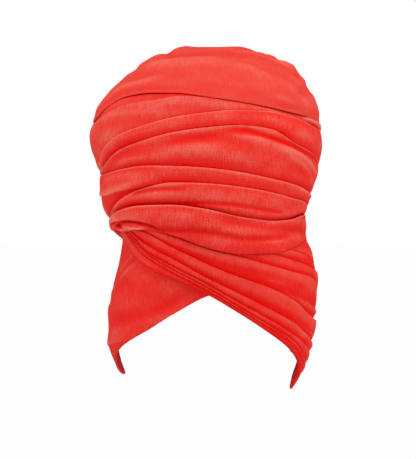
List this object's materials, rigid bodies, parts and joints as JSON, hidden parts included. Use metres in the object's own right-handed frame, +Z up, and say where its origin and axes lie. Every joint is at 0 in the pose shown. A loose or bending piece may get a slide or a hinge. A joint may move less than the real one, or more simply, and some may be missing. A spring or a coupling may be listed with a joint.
{
  "type": "head wrap",
  "caption": "Jersey head wrap wound round a head with the hair up, with a pleated band crossing the brow and an open underside.",
  "frame": {"origin": "middle of the inner crown, where the gathered hair bears against the wrap", "axes": "-Y is the front, +X is the viewer's right seen from the front, +Z is up"},
  "size_m": [0.1828, 0.2183, 0.2741],
  "materials": {
    "cap_jersey": "matt jersey",
    "crown_jersey": "matt jersey",
    "top_jersey": "matt jersey",
    "second_jersey": "matt jersey",
    "broad_jersey": "matt jersey",
    "brow_jersey": "matt jersey",
    "temple_jersey": "matt jersey",
    "front_jersey": "matt jersey",
    "cross_jersey": "matt jersey",
    "panel_jersey": "matt jersey"
  },
  "bodies": {
    "root": {"under_cap": "cap_jersey", "crown_wrap": "crown_jersey", "top_band": "top_jersey", "second_band": "second_jersey", "broad_band": "broad_jersey", "brow_band": "brow_jersey", "temple_band": "temple_jersey", "front_band": "front_jersey", "cross_band": "cross_jersey", "side_panel": "panel_jersey"}
  },
  "joints": []
}
